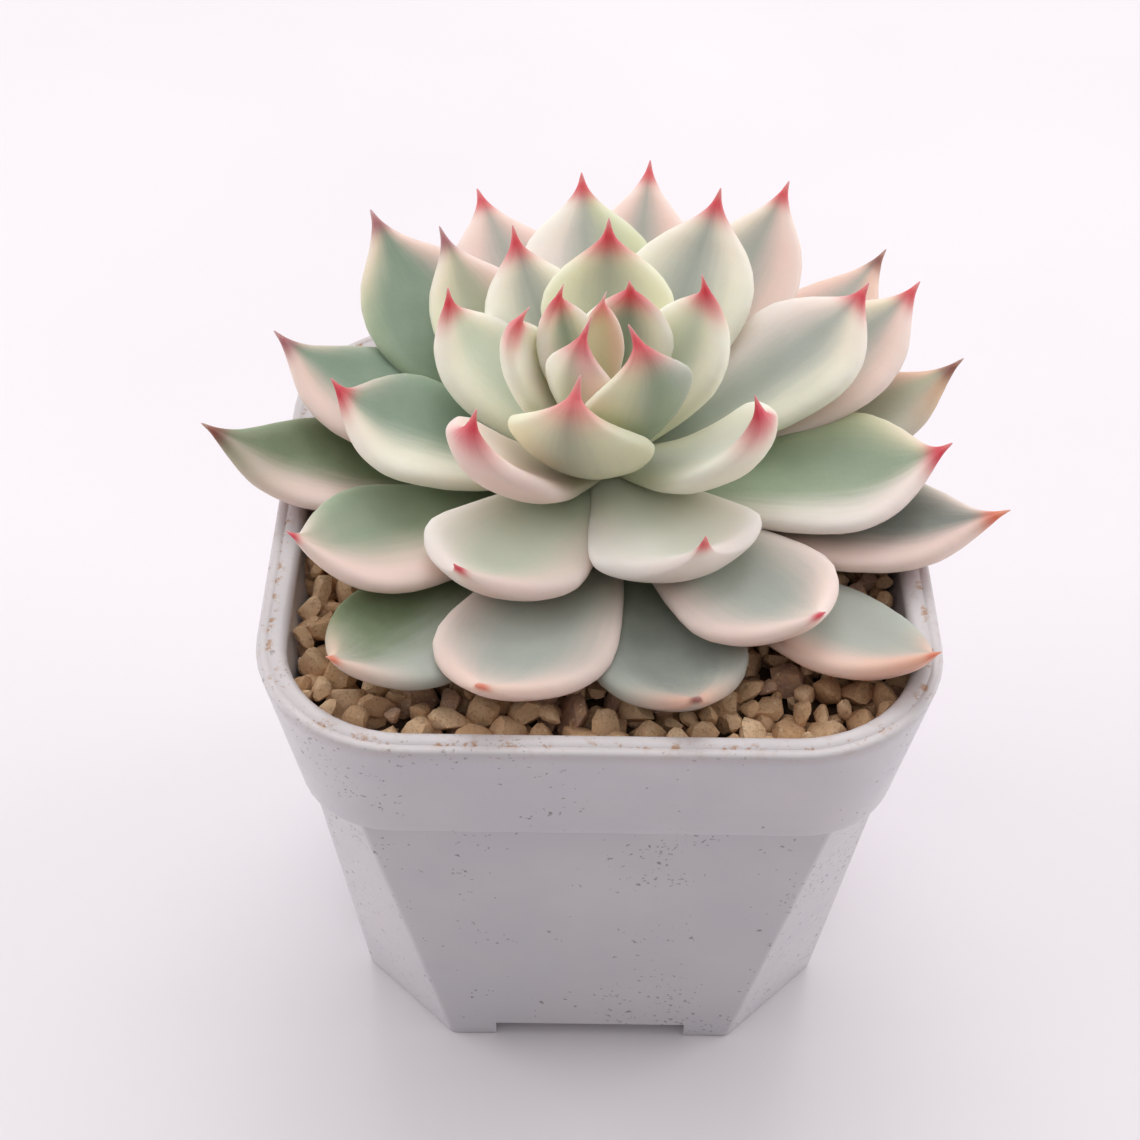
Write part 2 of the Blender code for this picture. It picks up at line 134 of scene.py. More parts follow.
# The spike at a leaf's tip, and where on the outline it starts
SPIKE_LENGTH = 2.7
SPIKE_KNOT = 0.94
LONGEST_SPIKE_SHARE = 0.16
TIP_CAP = 0.12

# The gentle waves of a leaf's faces
RIPPLE_HEIGHT = 0.22
RIPPLE_FINENESS = 0.16
RIPPLE_REACH = 1.1

# The length of a leaf's coloured point, and how fine its streaks are, across and along it
HOOKED_POINT = 1.8
OLD_POINT = 3.4
YOUNG_POINT_MORE = 1.0
ACROSS_STREAKS = 0.42
ALONG_STREAKS = 0.11

# Where a leaf's pigments change, from none to all: across it in half widths, from one side's
# margin to the other's, and along it in shares of its length, at its outer end and at its base
BOTH_SIDES = (-0.35, 0.35)
OUTER_END = (0.62, 0.98)
HOOKED_OUTER_END = (0.76, 0.98)
GREEN_BASE = (0.55, 0.05)
# Where the stripe's base turns darker green, partly its own colour and partly painted shade
SHADED_MOSS_BASE = (0.70, 0.12)

# How far a leaf's margins turn green at its base
GREENEST_MARGIN = 0.68

# Pigments, as display colours from 0 to 255
PIGMENTS = {
    # slate is a darker copy of grey: painted shade on the stripes of two hooked front leaves
    "grey": (172, 177, 168), "slate": (128, 134, 126), "green": (148, 164, 138),
    # moss, the stripe's colour at a leaf's base, is partly the leaf's own green and partly painted shade
    "jade": (134, 156, 134), "olive": (108, 124, 88), "shaded_moss": (104, 124, 70), "leek": (198, 205, 164),
    "sand": (182, 186, 160), "white": (247, 234, 227), "pink": (242, 215, 207),
    "shell": (235, 207, 198), "peach": (234, 198, 183), "salmon": (224, 164, 142),
    "cream": (243, 240, 221), "straw": (234, 233, 200), "tan": (214, 170, 132),
    "crimson": (202, 62, 82), "rose": (222, 108, 116), "orange": (208, 110, 88), "brown": (118, 66, 62),
    # dew and mist are painted light: paler copies of the stripe pigments for inner leaves that lie in
    # shade
    "mauve": (150, 92, 104), "flesh": (216, 208, 178), "dew": (212, 220, 200), "mist": (232, 232, 218),
    "blossom": (250, 234, 226),
}

# A leaf's shape is given as in the CAD model: its step on the spiral and its swing from it, how far
# out and how high over the rim its tip is, its width and where it is widest, how much it curves up
# and hooks up at its end, how cupped, rolled and swayed it is, and how thick.  Its pigments are
# those of its stripe, of its clockwise and counter-clockwise margin, of its outer end and of its
# point.  The stripe's place and width are shares of the half width.
Leaf = namedtuple("Leaf", (
    "step", "swing", "reach", "lift", "width", "widest", "curl", "hook", "cup", "roll", "sway",
    "thick", "pigments", "stripe_place", "stripe_width",
))

# One row for each leaf, lowest first
LEAF_ROWS = (
    (0, 6, 57.5, 12, 17, .62, 10, 15, .25, 0, 0, 4.0, "grey peach shell peach brown", 0, .45),
    (1, -3, 53, 10, 19, .60, 10, 25, .25, 0, 3, 4.0, "olive green pink olive brown", -.3, .72),
    (2, 3, 53, 7, 18, .68, 0, 45, .25, -15, 0, 4.0, "grey peach grey salmon orange", 0, .6),
    (3, -9, 55, 18, 18, .62, 20, 10, .25, 0, 0, 4.0, "grey shell pink pink crimson", 0, .36),
    (4, -2, 50, 6.5, 20, .68, 0, 45, .25, 0, 0, 4.0, "olive olive grey peach orange", -.55, .6),
    (5, 12, 51, 11, 17, .60, 10, 20, .25, 0, 0, 4.0, "sand grey pink tan brown", 0, .55),
    (6, -15, 52, 18.5, 23, .60, 20, 15, .25, 0, 0, 4.0, "jade shell leek shell mauve", .3, .75),
    # The slate stripe on this leaf and on the one at step 10 is painted shade
    (7, 0, 44, 6, 20, .66, -5, 50, .25, 0, 1, 4.0, "slate grey grey salmon brown", 0, .75),
    (8, 3, 50, 22, 18, .64, 25, 15, .25, 0, -3, 4.0, "grey pink cream pink crimson", .1, .45),
    (9, 8, 44, 10, 21, .66, 5, 40, .25, 0, 0, 4.0, "green green shell pink crimson", -.3, .55),
    # Slate stripe: painted shade
    (10, 12, 52, 8, 20, .60, 10, 25, .25, 0, 1, 4.0, "slate shell grey pink orange", .15, .65),
    (11, -4, 50, 18, 19, .64, 15, 10, .25, 0, 3, 4.0, "grey shell pink pink crimson", 0, .35),
    (12, 5, 45, 7.5, 22, .68, -5, 50, .25, 0, -4, 4.0, "grey shell shell peach orange", 0, .74),
    (13, 3, 49, 18, 20, .64, 20, 20, .25, 0, 0, 4.0, "grey pink straw pink crimson", 0, .5),
    (14, -7, 48, 14, 20, .60, 20, 20, .25, 0, 1, 4.0, "jade jade shell shell mauve", -.35, .75),
    (15, 6, 41, 10, 22, .68, 5, 45, .25, 0, 0, 4.0, "grey shell pink pink crimson", 0, .68),
    (18, -2, 44, 12, 24, .66, 10, 30, .25, 0, 3, 4.2, "green white leek pink crimson", .05, .6),
    (19, -6, 39, 21.5, 17, .60, 30, 10, .25, 0, 0, 4.0, "sand pink straw pink mauve", .1, .5),
    (21, -19, 39, 22, 20, .68, 25, 20, .25, 0, 0, 4.2, "grey cream white pink crimson", 0, .4),
    (22, -9, 36, 16.5, 21, .66, 20, 35, .25, 0, -1, 4.2, "jade jade cream pink crimson", -.3, .6),
    (24, -5, 44, 22.5, 20, .64, 25, 10, .25, 0, 0, 4.2, "grey leek white cream crimson", 0, .3),
    # The dew and mist stripes in the rows below are painted light on leaves that lie in shade
    (25, 1, 32.5, 12, 22, .68, 0, 55, .25, 0, -2, 4.2, "dew white pink pink crimson", 0, .62),
    (27, -5, 25, 24, 16, .60, 55, 25, .3, 0, 0, 4.2, "dew cream cream pink crimson", -.1, .45),
    (28, 4, 26, 14, 23, .68, 10, 75, .25, 0, 1, 4.2, "mist white white pink crimson", 0, .62),
    (29, -1, 38, 26, 19, .62, 35, 10, .25, 0, 0, 4.2, "grey cream cream pink crimson", 0, .38),
    (30, 14, 21, 25, 18, .62, 60, 40, .35, 0, 0, 4.2, "blossom pink pink pink crimson", -.2, .4),
    (31, -12, 20, 25, 18, .62, 60, 40, .35, 0, 0, 4.2, "mist cream cream pink crimson", 0, .35),
    (32, -5, 31, 24, 16, .60, 40, 15, .3, 0, 0, 4.2, "grey cream cream pink crimson", 0, .35),
    (33, -8, 11, 28, 19, .56, 70, 40, .35, 8, 0, 4.2, "sand straw straw cream rose", 0, .4),
    (34, 2, 16, 28, 15, .60, 60, 20, .35, 0, 2, 4.0, "dew cream cream cream crimson", 0, .35),
    (35, -5, 10.5, 29, 13, .60, 60, 30, .35, 0, 0, 3.4, "mist cream cream cream rose", 0, .25),
    (36, -10, 5.5, 32, 16, .56, 55, 40, .35, 0, -1, 3.4, "green straw grey cream crimson", .2, .55),
    (37, 3, 24, 28, 18, .62, 45, 15, .3, 0, 0, 4.0, "sand straw straw cream crimson", 0, .35),
    (38, 10, 4.5, 32, 12, .55, 45, 30, .35, 0, 0, 2.6, "sand cream pink pink crimson", 0, .3),
    (40, -8, 9, 29.5, 10, .58, 45, 25, .35, 0, 0, 2.6, "green cream cream pink crimson", 0, .35),
    (42, 22, 10, 28, 13, .60, 60, 30, .35, 0, 0, 3.0, "green cream cream pink crimson", 0, .35),
    (43, 5, 4.5, 27, 8, .55, 45, 25, .35, 0, 0, 1.8, "flesh salmon straw peach rose", 0, .3),
    (44, 0, 4.5, 26.5, 8, .55, 45, 25, .35, 0, 0, 1.8, "flesh straw flesh straw rose", 0, .3),
    (45, 0, 2.5, 31.5, 6, .55, 30, 20, .3, 0, 0, 1.6, "flesh peach flesh peach rose", 0, .3),
)
LEAVES = [Leaf(*row) for row in LEAF_ROWS]

# A leaf that is hooked this much, up to this step, shows the camera the outside of its tip
HOOKED = 40
LAST_HOOKED_STEP = 28

# Leaves up to this share of the spiral lie open, and the rest stand round the heart
OPEN_SHARE = 0.7

# The camera, found from the photo: its lens, its place from the pot's foot, and its turns about
# X, Y and Z in degrees
CAMERA_LENS = 67.9
CAMERA_PLACE = (-4.35, -213.10, 256.18)
CAMERA_TURNS = (47.431, -0.653, 0.435)

# Lamps in metres and watts: name, place, what it aims at, size and power
LAMPS = (
    ("back_light", (0.06, 0.85, 1.0), (0.0, 0.0, 0.06), 1.0, 5.8),
    ("left_light", (-0.62, 0.10, 0.24), (0.0, 0.0, 0.05), 0.5, 1.5),
    ("right_light", (0.62, 0.10, 0.24), (0.0, 0.0, 0.05), 0.5, 1.4),
)
FLOOR_HALF_WIDTH = 3.0

# The studio's light: where it is brightest, how far round from there it fades out (as a cosine),
# its colour, and the backdrop that only the camera sees
SKY_BRIGHTEST = (0.0, 0.25, 0.97)
SKY_DARK_BELOW = -0.12
SKY_COLOUR = (1.0, 0.985, 0.99, 1.0)
BACKDROP_COLOUR = (0.93, 0.90, 0.93, 1.0)


def linear(colour):
    """Scene-linear values of a display colour that is given from 0 to 255."""
    shares = np.asarray(colour, float) / 255
    return np.where(shares <= 0.04045, shares / 12.92, ((shares + 0.055) / 1.055) ** 2.4)


def ease(value, low, high):
    """A smooth step from 0 to 1 as value goes from low to high, either of which may be the larger."""
    share = np.clip((value - low) / (high - low), 0.0, 1.0)
    return share * share * (3 - 2 * share)


# ---------------------------------------------------------------- camera, light and floor


def build_camera():
    lens = bpy.data.cameras.new("camera")
    lens.lens = CAMERA_LENS
    lens.sensor_width = 36.0
    lens.clip_start = 0.01
    camera = bpy.data.objects.new("camera", lens)
    place = POT_AXIS + Vector(CAMERA_PLACE) * METRES
    turns = Euler([radians(turn) for turn in CAMERA_TURNS])
    camera.matrix_world = Matrix.Translation(place) @ turns.to_matrix().to_4x4()
    SCENE.collection.objects.link(camera)
    SCENE.camera = camera


def build_lamp(name, place, aim, size, power):
    lamp = bpy.data.lights.new(name, "AREA")
    lamp.shape = "DISK"
    lamp.size = size
    lamp.energy = power
    made = bpy.data.objects.new(name, lamp)
    place = POT_AXIS + Vector(place)
    made.location = place
    aim = POT_AXIS + Vector(aim)
    made.rotation_euler = (place - aim).to_track_quat("Z", "Y").to_euler()
    SCENE.collection.objects.link(made)


def build_world():
    """Soft studio light that is brightest above and behind, and dim on the front side."""
    world = bpy.data.worlds.new("studio")
    world.use_nodes = True
    tree = world.node_tree
    nodes, links = tree.nodes, tree.links
    nodes.clear()
    output = nodes.new("ShaderNodeOutputWorld")
    coords = nodes.new("ShaderNodeTexCoord")
    aim = nodes.new("ShaderNodeVectorMath")
    aim.operation = "DOT_PRODUCT"
    aim.inputs[1].default_value = Vector(SKY_BRIGHTEST).normalized()
    links.new(coords.outputs["Generated"], aim.inputs[0])
    level = nodes.new("ShaderNodeMapRange")
    level.inputs["From Min"].default_value = SKY_DARK_BELOW
    links.new(aim.outputs["Value"], level.inputs["Value"])
    glow = nodes.new("ShaderNodeBackground")
    glow.inputs["Color"].default_value = SKY_COLOUR
    links.new(level.outputs["Result"], glow.inputs["Strength"])
    wall = nodes.new("ShaderNodeBackground")
    wall.inputs["Color"].default_value = BACKDROP_COLOUR
    path = nodes.new("ShaderNodeLightPath")
    choose = nodes.new("ShaderNodeMixShader")
    links.new(path.outputs["Is Camera Ray"], choose.inputs["Fac"])
    links.new(glow.outputs["Background"], choose.inputs[1])
    links.new(wall.outputs["Background"], choose.inputs[2])
    links.new(choose.outputs["Shader"], output.inputs["Surface"])
    SCENE.world = world


# ---------------------------------------------------------------- material helpers

# The colour sockets of a Mix node, which has others of the same names
MIX_FIRST = 6
MIX_SECOND = 7
MIX_RESULT = 2


class Paint:
    """A node material under construction: its shader, and short ways to add nodes to it."""

    def __init__(self, name, roughness):
        self.material = bpy.data.materials.new(name)
        self.material.use_nodes = True
        self.tree = self.material.node_tree
        self.shader = self.tree.nodes["Principled BSDF"]
        self.shader.inputs["Roughness"].default_value = roughness

    def link(self, source, socket):
        self.tree.links.new(source, socket)

    def fill(self, socket, value):
        if isinstance(value, bpy.types.NodeSocket):
            self.link(value, socket)
        else:
            socket.default_value = value

    def attribute(self, name, output="Fac"):
        node = self.tree.nodes.new("ShaderNodeAttribute")
        node.attribute_name = name
        return node.outputs[output]

    def place(self):
        """A point's place on the object, in metres."""
        return self.tree.nodes.new("ShaderNodeTexCoord").outputs["Object"]

    def ragged_place(self, scale, amount):
        """A point's place, pushed about a little, so that round marks come out ragged."""
        shake = self.tree.nodes.new("ShaderNodeTexNoise")
        self.link(self.place(), shake.inputs["Vector"])
        shake.inputs["Scale"].default_value = scale
        push = self.tree.nodes.new("ShaderNodeVectorMath")
        push.operation = "MULTIPLY_ADD"
        self.link(shake.outputs["Color"], push.inputs[0])
        push.inputs[1].default_value = (amount * METRES,) * 3
        self.link(self.place(), push.inputs[2])
        return push.outputs["Vector"]

    def noise(self, vector, scale, detail=2.0, roughness=0.5):
        node = self.tree.nodes.new("ShaderNodeTexNoise")
        self.link(vector, node.inputs["Vector"])
        node.inputs["Scale"].default_value = scale
        node.inputs["Detail"].default_value = detail
        node.inputs["Roughness"].default_value = roughness
        return node.outputs["Fac"]

    def cells(self, vector, scale, output="Distance"):
        node = self.tree.nodes.new("ShaderNodeTexVoronoi")
        self.link(vector, node.inputs["Vector"])
        node.inputs["Scale"].default_value = scale
        return node.outputs[output]

    def math(self, operation, first, second=0.0):
        node = self.tree.nodes.new("ShaderNodeMath")
        node.operation = operation
        self.fill(node.inputs[0], first)
        self.fill(node.inputs[1], second)
        return node.outputs[0]

    def steer(self, value, low, high, to_low=0.0, to_high=1.0):
        """A smooth step from to_low to to_high as value goes from low to high."""
        node = self.tree.nodes.new("ShaderNodeMapRange")
        node.interpolation_type = "SMOOTHSTEP"
        self.link(value, node.inputs["Value"])
        names = ("From Min", "From Max", "To Min", "To Max")
        for name, number in zip(names, (low, high, to_low, to_high)):
            node.inputs[name].default_value = number
        return node.outputs["Result"]

    def mix(self, share, first, second):
        """The colour that lies between two by share.  Each of the three is a socket or a value."""
        node = self.tree.nodes.new("ShaderNodeMix")
        node.data_type = "RGBA"
        self.fill(node.inputs["Factor"], share)
        self.fill(node.inputs[MIX_FIRST], first)
        self.fill(node.inputs[MIX_SECOND], second)
        return node.outputs[MIX_RESULT]

    def bump(self, height, strength, distance):
        node = self.tree.nodes.new("ShaderNodeBump")
        node.inputs["Strength"].default_value = strength
        node.inputs["Distance"].default_value = distance * METRES
        self.link(height, node.inputs["Height"])
        self.link(node.outputs["Normal"], self.shader.inputs["Normal"])

    def soften(self, weight, radius, scale):
        """Light that passes under the surface, as in flesh and thick plastic."""
        self.shader.inputs["Subsurface Weight"].default_value = weight
        self.shader.inputs["Subsurface Radius"].default_value = radius
        self.shader.inputs["Subsurface Scale"].default_value = scale * METRES


def tint(colour):
    return (*linear(colour), 1.0)


def leaf_material():
    paint = Paint("leaf_flesh", 0.62)
    grain = paint.attribute("grain", "Vector")
    streaks = paint.noise(grain, 1.0, 3.0, 0.6)
    streak = paint.math("SUBTRACT", streaks, 0.5)
    stripe = paint.math("ADD", paint.attribute("stripe"), paint.math("MULTIPLY", streak, 0.22))
    stripe = paint.steer(stripe, -0.44, 0.44)
    colour = paint.mix(stripe, paint.attribute("pale", "Color"), paint.attribute("deep", "Color"))
    cloud = paint.noise(paint.place(), 160.0, 3.0, 0.55)
    colour = paint.mix(paint.steer(cloud, 0.35, 0.75, 0.0, 0.10), colour, tint((206, 214, 196)))
    blush = paint.math("ADD", paint.attribute("blush"), paint.math("MULTIPLY", streak, 0.2))
    colour = paint.mix(paint.steer(blush, 0.0, 0.8), colour, paint.attribute("point", "Color"))
    speck = paint.cells(paint.place(), 260.0)
    chance = paint.cells(paint.place(), 260.0, "Color")
    rare = paint.math("LESS_THAN", chance, 0.07)
    mark = paint.math("MULTIPLY", paint.steer(speck, 0.05, 0.11, 1.0, 0.0), rare)
    colour = paint.mix(paint.math("MULTIPLY", mark, 0.6), colour, tint((110, 96, 82)))
    paint.link(colour, paint.shader.inputs["Base Color"])
    powder = paint.noise(paint.place(), 2600.0, 2.0)
    paint.link(paint.steer(powder, 0.3, 0.7, 0.55, 0.72), paint.shader.inputs["Roughness"])
    fine = paint.noise(paint.place(), 900.0, 2.0)
    height = paint.math("ADD", paint.math("MULTIPLY", streaks, 0.5), fine)
    paint.bump(height, 0.35, 0.10)
    paint.soften(0.6, (1.0, 0.88, 0.72), 4.2)
    paint.shader.inputs["Sheen Weight"].default_value = 0.08
    paint.shader.inputs["Sheen Roughness"].default_value = 0.6
    return paint.material


def gravel_material():
    paint = Paint("gravel_stone", 0.88)
    place = paint.place()
    warm = paint.mix(paint.attribute("tone"), tint((200, 160, 122)), tint((244, 212, 174)))
    odd = paint.mix(paint.attribute("odd"), warm, tint((160, 126, 116)))
    blotch = paint.noise(place, 520.0, 4.0, 0.6)
    colour = paint.mix(paint.steer(blotch, 0.35, 0.7, 0.0, 0.55), odd, tint((208, 166, 122)))
    grit = paint.noise(place, 2400.0, 3.0, 0.7)
    colour = paint.mix(paint.steer(grit, 0.52, 0.72, 0.0, 0.55), colour, tint((120, 88, 60)))
    pale = paint.noise(place, 1500.0, 2.0, 0.6)
    colour = paint.mix(paint.steer(pale, 0.6, 0.75, 0.0, 0.6), colour, tint((236, 214, 182)))
    paint.link(colour, paint.shader.inputs["Base Color"])
    paint.link(paint.steer(grit, 0.3, 0.7, 0.8, 0.96), paint.shader.inputs["Roughness"])
    paint.bump(paint.math("ADD", grit, paint.math("MULTIPLY", blotch, 2.0)), 0.7, 0.25)
    return paint.material


def pot_material():
    paint = Paint("pot_plastic", 0.42)
    place = paint.place()
    wear = paint.attribute("wear")
    haze = paint.noise(place, 45.0, 3.0, 0.6)
    colour = paint.mix(paint.steer(haze, 0.3, 0.75), tint((211, 209, 213)), tint((219, 214, 217)))
    bloom = paint.noise(place, 110.0, 4.0, 0.6)
    colour = paint.mix(paint.steer(bloom, 0.5, 0.8, 0.0, 0.10), colour, tint((202, 190, 214)))
    ragged = paint.noise(place, 520.0, 4.0, 0.7)
    loose = paint.ragged_place(1300.0, 1.3)
    specks = paint.cells(loose, 620.0)
    chance = paint.cells(loose, 620.0, "Color")
    patches = paint.noise(place, 70.0, 3.0, 0.6)
    spread = paint.steer(patches, 0.46, 0.70, 0.07, 0.45)
    level = paint.math("ADD", paint.math("MULTIPLY", wear, 0.14), spread)
    chosen = paint.math("LESS_THAN", chance, level)
    mark = paint.math("MULTIPLY", paint.steer(specks, 0.08, 0.24, 1.0, 0.0), chosen)
    colour = paint.mix(paint.math("MULTIPLY", mark, 0.7), colour, tint((104, 92, 84)))
    dust = paint.cells(loose, 1700.0)
    dust_chance = paint.cells(loose, 1700.0, "Color")
    dusty = paint.math("LESS_THAN", dust_chance, paint.math("MULTIPLY", level, 0.8))
    fleck = paint.math("MULTIPLY", paint.steer(dust, 0.2, 0.42, 1.0, 0.0), dusty)
    colour = paint.mix(paint.math("MULTIPLY", fleck, 0.6), colour, tint((120, 112, 108)))
    # Painted shade: the lip's top is tinted a little darker than the wall
    painted_lip_shade = paint.math("MULTIPLY", paint.attribute("painted_lip_shade"), 0.4)
    colour = paint.mix(painted_lip_shade, colour, tint((190, 178, 176)))
    line = paint.math("MULTIPLY", paint.steer(ragged, 0.52, 0.62), paint.attribute("dirt"))
    colour = paint.mix(paint.math("MULTIPLY", line, 0.8), colour, tint((170, 122, 78)))
    paint.link(colour, paint.shader.inputs["Base Color"])
    scuff = paint.noise(place, 900.0, 3.0, 0.6)
    paint.link(paint.steer(scuff, 0.3, 0.75, 0.34, 0.52), paint.shader.inputs["Roughness"])
    paint.bump(paint.math("ADD", scuff, paint.math("MULTIPLY", haze, 3.0)), 0.12, 0.08)
    paint.soften(0.25, (1.0, 0.95, 0.95), 2.0)
    return paint.material


def soil_material():
    paint = Paint("soil", 0.95)
    place = paint.place()
    clods = paint.noise(place, 260.0, 5.0, 0.65)
    colour = paint.mix(paint.steer(clods, 0.35, 0.7), tint((46, 34, 26)), tint((96, 74, 54)))
    fibre = paint.cells(place, 700.0)
    colour = paint.mix(paint.steer(fibre, 0.0, 0.2, 0.5, 0.0), colour, tint((150, 120, 86)))
    paint.link(colour, paint.shader.inputs["Base Color"])
    paint.link(paint.steer(clods, 0.3, 0.7, 0.86, 0.98), paint.shader.inputs["Roughness"])
    paint.bump(clods, 0.8, 0.8)
    return paint.material


def stem_material():
    paint = Paint("stem_flesh", 0.6)
    place = paint.place()
    rings = paint.noise(place, 320.0, 4.0, 0.6)
    colour = paint.mix(paint.steer(rings, 0.35, 0.7), tint((150, 158, 98)), tint((178, 168, 122)))
    bark = paint.noise(place, 900.0, 3.0, 0.7)
    colour = paint.mix(paint.steer(bark, 0.55, 0.75, 0.0, 0.6), colour, tint((112, 84, 58)))
    paint.link(colour, paint.shader.inputs["Base Color"])
    paint.link(paint.steer(bark, 0.3, 0.7, 0.5, 0.75), paint.shader.inputs["Roughness"])
    paint.bump(rings, 0.5, 0.3)
    paint.soften(0.15, (1.0, 0.7, 0.4), 1.5)
    return paint.material


def floor_material():
    paint = Paint("pale_floor", 0.6)
    place = paint.place()
    tone = paint.noise(place, 6.0, 3.0, 0.5)
    colour = paint.mix(paint.steer(tone, 0.3, 0.7), tint((232, 226, 231)), tint((236, 231, 235)))
    paint.link(colour, paint.shader.inputs["Base Color"])
    return paint.material


# ---------------------------------------------------------------- mesh helpers


def finish_piece(name, mesh, material, stands_for=(), sharp=None):
    """A piece from a mesh in millimetres about the pot's axis."""
    mesh.transform(Matrix.Translation(POT_AXIS) @ Matrix.Scale(METRES, 4))
    mesh.shade_smooth()
    if sharp:
        mesh.set_sharp_from_angle(angle=radians(sharp))
    mesh.materials.append(material)
    piece = bpy.data.objects.new(name, mesh)
    SCENE.collection.objects.link(piece)
    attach(piece, "root")
    if stands_for:
        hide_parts(*stands_for)


def add_number(mesh, name, values):
    layer = mesh.attributes.new(name, "FLOAT", "POINT")
    layer.data.foreach_set("value", np.asarray(values, np.float32).ravel())


def add_vector(mesh, name, values):
    layer = mesh.attributes.new(name, "FLOAT_VECTOR", "POINT")
    layer.data.foreach_set("vector", np.asarray(values, np.float32).ravel())


def add_colour(mesh, name, values):
    layer = mesh.attributes.new(name, "FLOAT_COLOR", "POINT")
    opaque = np.concatenate([values, np.ones((len(values), 1))], axis=1)
    layer.data.foreach_set("color", opaque.astype(np.float32).ravel())


def smooth_knots(knots):
    """Fine samples of a knotted line with its corners rounded off and its ends kept."""
    fine = np.linspace(0.0, 1.0, OUTLINE_SAMPLES)
    places, levels = zip(*knots)
    values = np.interp(fine, places, levels)
    window = np.hanning(2 * CORNER_REACH + 1)
    before = 2 * values[0] - values[CORNER_REACH:0:-1]
    after = 2 * values[-1] - values[-2:-CORNER_REACH - 2:-1]
    padded = np.concatenate([before, values, after])
    return fine, np.convolve(padded, window / window.sum(), mode="valid")


OUTLINE = smooth_knots(LEAF_OUTLINE)
DEPTH = smooth_knots(LEAF_DEPTH)


# ---------------------------------------------------------------- leaves


def stem_radius(height):
    share = min(1.0, max(0.0, (height - LEAF_LOW) / (STEM_TOP - LEAF_LOW)))
    return STEM_LOW_RADIUS + (STEM_TOP_RADIUS - STEM_LOW_RADIUS) * share


def leaf_spine(leaf):
    """Shares of a leaf's length, the distance from the axis, height and pitch there, and the length.

    The spine's curve is fixed by its curl and hook, then turned and scaled so that its tip is right.
    """
    share = leaf.step / LAST_STEP
    base_height = LEAF_LOW + LEAF_PITCH * leaf.step
    base_out = stem_radius(base_height) * (1 - share) + share * STEM_TOP_RADIUS + BASE_OUT
    fine = np.linspace(0.0, 1.0, SPINE_STEPS + 1)
    late = np.clip((fine - HOOK_START) / (1 - HOOK_START), 0.0, 1.0)
    bend = np.radians(leaf.curl) * fine + np.radians(leaf.hook) * late * late * (3 - 2 * late)
    gap = fine[1]
    out = np.concatenate([[0.0], np.cumsum(np.cos(bend[1:]) + np.cos(bend[:-1])) * gap / 2])
    up = np.concatenate([[0.0], np.cumsum(np.sin(bend[1:]) + np.sin(bend[:-1])) * gap / 2])
    want = (leaf.reach - base_out, POT_HEIGHT + leaf.lift - base_height)
    length = hypot(*want) / hypot(out[-1], up[-1])
    tilt = atan2(want[1], want[0]) - atan2(up[-1], out[-1])
    radius = base_out + length * (out * cos(tilt) - up * sin(tilt))
    height = base_height + length * (out * sin(tilt) + up * cos(tilt))
    return fine, radius, height, bend + tilt, length


def spike_knot(share, length):
    """Where on the outline a share of a leaf's length is, with all spikes kept to one length."""
    spike = min(LONGEST_SPIKE_SHARE, SPIKE_LENGTH / length)
    return float(np.interp(share, (0.0, 1 - spike, 1.0), (0.0, SPIKE_KNOT, 1.0)))


def leaf_skin(leaf):
    """Points of a leaf, ring by ring, with each point's place along, across and above it."""
    turn = radians(FIRST_TURN + GOLDEN_TURN * leaf.step + leaf.swing)
    outward = np.array((cos(turn), sin(turn), 0.0))
    across = np.array((-sin(turn), cos(turn), 0.0))
    upward = np.array((0.0, 0.0, 1.0))
    axis = np.array((STEM_X, STEM_Y, 0.0))
    fine, radii, heights, pitches, length = leaf_spine(leaf)
    blade = np.linspace(0.0, POINT_START - 0.005, BLADE_RINGS)
    shares = np.concatenate([[0.0], blade, np.linspace(POINT_START, 1.0, POINT_RINGS)])
    angles = np.arange(LEAF_SIDES) * 2 * pi / LEAF_SIDES
    u = np.sign(np.cos(angles)) * np.abs(np.cos(angles)) ** SIDE_FULLNESS
    v = np.sign(np.sin(angles)) * np.abs(np.sin(angles)) ** FACE_FULLNESS
    part = np.where(v > 0, LEAF_TOP_SHARE, 1 - LEAF_TOP_SHARE)
    near_margin = np.clip((np.abs(u) - MARGIN_START) / (1 - MARGIN_START), 0.0, 1.0)
    roll_off = 1 - np.sqrt(1 - near_margin ** 2)
    points = []
    marks = []
    for number, share in enumerate(shares):
        pitch = np.interp(share, fine, pitches)
        place = spike_knot(share, length)
        knot = np.interp(place, (0.0, leaf.widest, 1.0), (0.0, WIDEST_KNOT, 1.0))
        half = leaf.width / 2 * np.interp(knot, *OUTLINE)
        depth = leaf.thick * np.interp(place, *DEPTH)
        twist = radians(leaf.roll) * share
        forward = cos(pitch) * outward + sin(pitch) * upward
        normal = -sin(pitch) * outward + cos(pitch) * upward
        wide = cos(twist) * across + sin(twist) * normal
        tall = -sin(twist) * across + cos(twist) * normal
        centre = axis + outward * np.interp(share, fine, radii) + upward * np.interp(share, fine, heights)
        centre = centre + across * leaf.sway * share * share
        if number == 0:
            centre = centre - forward * LEAF_FOOT
        rise = leaf.cup * half * half / (leaf.width / 2) * u * u - MARGIN_ROLL * depth * roll_off
        ring = centre + np.outer(half * u, wide) + np.outer(depth * part * v + rise, tall)
        points.append(ring)
        marks.append(np.stack([np.full(LEAF_SIDES, share), u, v], axis=1))
    end = points[-1].mean(axis=0) + forward * TIP_CAP
    points.append(end[None])
    marks.append(np.array([[1.0, 0.0, 0.0]]))
    return np.concatenate(points), np.concatenate(marks), length


def tube_faces(rings, sides):
    """Faces of a tube of rings, closed by one face at its start and by a last point at its end."""
    faces = []
    for low in range(rings - 1):
        for side in range(sides):
            turn = (side + 1) % sides
            corner = low * sides
            faces.append((corner + side, corner + turn, corner + sides + turn, corner + sides + side))
    last = (rings - 1) * sides
    tip = rings * sides
    faces.append(tuple(reversed(range(sides))))
    faces.extend((last + side, last + (side + 1) % sides, tip) for side in range(sides))
    return faces


def blend(share, first, second):
    """Rows of first that turn to rows of second by each row's share."""
    share = np.asarray(share)[:, None]
    return first * (1 - share) + second * share


